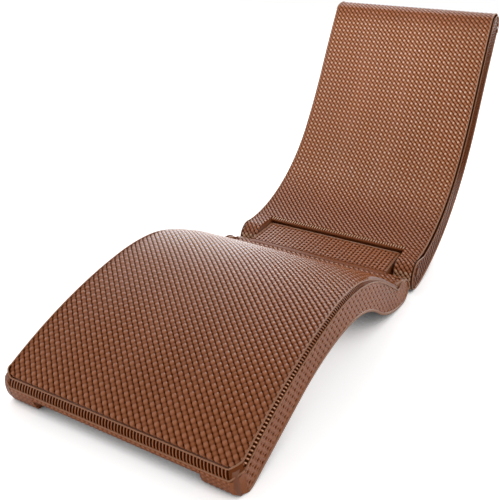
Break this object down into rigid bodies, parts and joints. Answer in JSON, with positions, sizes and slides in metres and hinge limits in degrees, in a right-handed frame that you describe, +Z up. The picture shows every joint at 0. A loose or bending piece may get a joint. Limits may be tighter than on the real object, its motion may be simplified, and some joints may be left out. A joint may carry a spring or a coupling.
{
  "type": "folding moulded lounger",
  "caption": "Hollow moulded lounger with a woven-look deck: an arched leg rest and a curved back rest that folds forward on hinge pins",
  "frame": {"origin": "on the floor, under the middle of the whole lounger's length and width", "axes": "+X points from the foot end to the head end, +Y to the sitter's left, +Z up"},
  "size_m": [1.8306, 0.61, 0.8138],
  "materials": {
    "moulding": "rotationally moulded polyethylene, brown, with a woven relief",
    "cap_plastic": "moulded polyethylene, brown",
    "pin_steel": "turned stainless steel",
    "screw_steel": "stainless steel",
    "bush_nylon": "natural nylon",
    "pad_rubber": "black rubber",
    "plug_plastic": "dark brown polypropylene",
    "seal_rubber": "black rubber"
  },
  "bodies": {
    "leg_rest": {"leg_shell": "moulding", "tongue_bush_right": "bush_nylon", "tongue_bush_left": "bush_nylon", "front_pad_right": "pad_rubber", "front_pad_left": "pad_rubber", "seat_pad_right": "pad_rubber", "seat_pad_left": "pad_rubber", "front_pad_screws": "screw_steel", "seat_pad_screws": "screw_steel", "leg_plug": "plug_plastic", "leg_plug_seal": "seal_rubber"},
    "back_rest": {"back_shell": "moulding", "hinge_pin_right": "pin_steel", "hinge_pin_left": "pin_steel", "pin_cap_right": "cap_plastic", "pin_cap_left": "cap_plastic", "ear_bush_right": "bush_nylon", "ear_bush_left": "bush_nylon", "back_pad_right": "pad_rubber", "back_pad_left": "pad_rubber", "back_pad_screws": "screw_steel", "back_plug": "plug_plastic", "back_plug_seal": "seal_rubber"}
  },
  "joints": [
    {"name": "back_fold", "type": "hinge", "parent": "leg_rest", "child": "back_rest", "pos_m": [0.1782, 0, 0.058], "axis": [0, -1, 0], "range_deg": [0, 100]}
  ]
}
